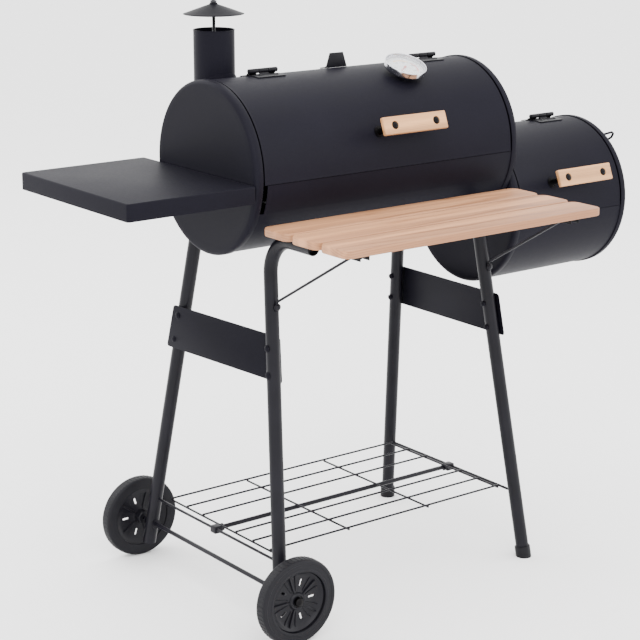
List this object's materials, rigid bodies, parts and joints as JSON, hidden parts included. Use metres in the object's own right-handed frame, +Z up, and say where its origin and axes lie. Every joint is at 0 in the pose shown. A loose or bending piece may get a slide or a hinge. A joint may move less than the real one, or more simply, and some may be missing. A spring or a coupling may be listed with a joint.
{
  "type": "offset smoker",
  "caption": "Barrel smoker grill with a lower side firebox, hinged lids, chimney, wooden shelf slats and a wheeled tube stand with a wire rack.",
  "frame": {"origin": "on the ground at the middle of the outline, seen from above", "axes": "+X along the barrel towards the firebox, +Y to the back away from the wooden shelf, +Z up"},
  "size_m": [1.22, 0.6572, 1.085],
  "materials": {
    "enamel_sheet": "satin",
    "black_steel": "satin",
    "fir_wood": "matte",
    "black_plastic": "matte",
    "zinc_hardware": "satin",
    "grate_steel": "satin",
    "gauge_chrome": "gloss",
    "dial_face": "matte",
    "needle_paint": "satin",
    "gauge_glass": "gloss"
  },
  "bodies": {
    "stand": {"axle_cap_front": "zinc_hardware", "axle_cap_rear": "zinc_hardware", "axle_rod": "zinc_hardware", "barrel_body": "enamel_sheet", "barrel_cap_left": "enamel_sheet", "barrel_cap_right": "enamel_sheet", "barrel_hinge_left_fixed_leaf": "black_steel", "barrel_hinge_right_fixed_leaf": "black_steel", "charcoal_grate": "grate_steel", "chimney_stack": "enamel_sheet", "cooking_grate": "grate_steel", "firebox_body": "enamel_sheet", "firebox_cap_left": "enamel_sheet", "firebox_cap_right": "enamel_sheet", "firebox_grate": "grate_steel", "firebox_hinge_left_fixed_leaf": "black_steel", "firebox_hinge_right_fixed_leaf": "black_steel", "foot_cap_front": "black_plastic", "foot_cap_rear": "black_plastic", "leg_front_left": "black_steel", "leg_front_right": "black_steel", "leg_plate_left": "enamel_sheet", "leg_plate_right": "enamel_sheet", "leg_rear_left": "black_steel", "leg_rear_right": "black_steel", "lid_stop": "black_steel", "rack": "black_steel", "rack_rail_left": "black_steel", "rack_rail_right": "black_steel", "rain_cap_rod": "zinc_hardware", "shelf_brace_left": "black_steel", "shelf_brace_right": "black_steel", "shelf_cleat_left": "black_steel", "shelf_cleat_right": "black_steel", "side_shelf": "enamel_sheet", "slat_back": "fir_wood", "slat_front": "fir_wood", "slat_middle": "fir_wood", "stretcher_rod": "black_steel"},
    "barrel_lid": {"barrel_lid": "enamel_sheet", "barrel_handle": "fir_wood", "barrel_handle_stud_left": "black_steel", "barrel_handle_stud_right": "black_steel", "barrel_hinge_left_lid_leaf": "black_steel", "barrel_hinge_right_lid_leaf": "black_steel", "thermometer_case": "gauge_chrome", "thermometer_dial": "dial_face", "thermometer_lens": "gauge_glass"},
    "gauge_needle": {"thermometer_needle": "needle_paint"},
    "firebox_lid": {"firebox_lid": "enamel_sheet", "firebox_handle": "fir_wood", "firebox_handle_stud_left": "black_steel", "firebox_handle_stud_right": "black_steel", "firebox_hinge_left_lid_leaf": "black_steel", "firebox_hinge_right_lid_leaf": "black_steel"},
    "air_damper": {"air_damper": "black_steel"},
    "rain_cap": {"rain_cap": "enamel_sheet", "rain_cap_nut": "zinc_hardware"},
    "wheel_front": {"wheel_front": "black_plastic"},
    "wheel_rear": {"wheel_rear": "black_plastic"}
  },
  "joints": [
    {"name": "barrel_lid_hinge", "type": "hinge", "parent": "stand", "child": "barrel_lid", "pos_m": [-0.05772, 0.06788, 0.96065], "axis": [-1, 0, 0], "range_deg": [0, 124]},
    {"name": "gauge_needle_turn", "type": "hinge", "parent": "barrel_lid", "child": "gauge_needle", "pos_m": [0.03728, -0.00908, 0.95428], "axis": [0, 0.3987, -0.9171], "range_deg": [0, 250], "stiffness_Nm_per_rad": 0.0005},
    {"name": "firebox_lid_hinge", "type": "hinge", "parent": "stand", "child": "firebox_lid", "pos_m": [0.39333, 0.06789, 0.81724], "axis": [-1, 0, 0], "range_deg": [0, 122]},
    {"name": "air_damper_turn", "type": "hinge", "parent": "stand", "child": "air_damper", "pos_m": [0.54439, 0.05735, 0.6616], "axis": [-1, 0, 0], "range_deg": [0, 40]},
    {"name": "rain_cap_lift", "type": "slide", "parent": "stand", "child": "rain_cap", "axis": [0, 0, 1], "range_m": [-0.03, 0.006]},
    {"name": "wheel_front_spin", "type": "hinge", "parent": "stand", "child": "wheel_front", "pos_m": [-0.35372, -0.19965, 0.0784], "axis": [0, 1, 0], "continuous": true},
    {"name": "wheel_rear_spin", "type": "hinge", "parent": "stand", "child": "wheel_rear", "pos_m": [-0.35372, 0.31435, 0.0784], "axis": [0, 1, 0], "continuous": true}
  ]
}
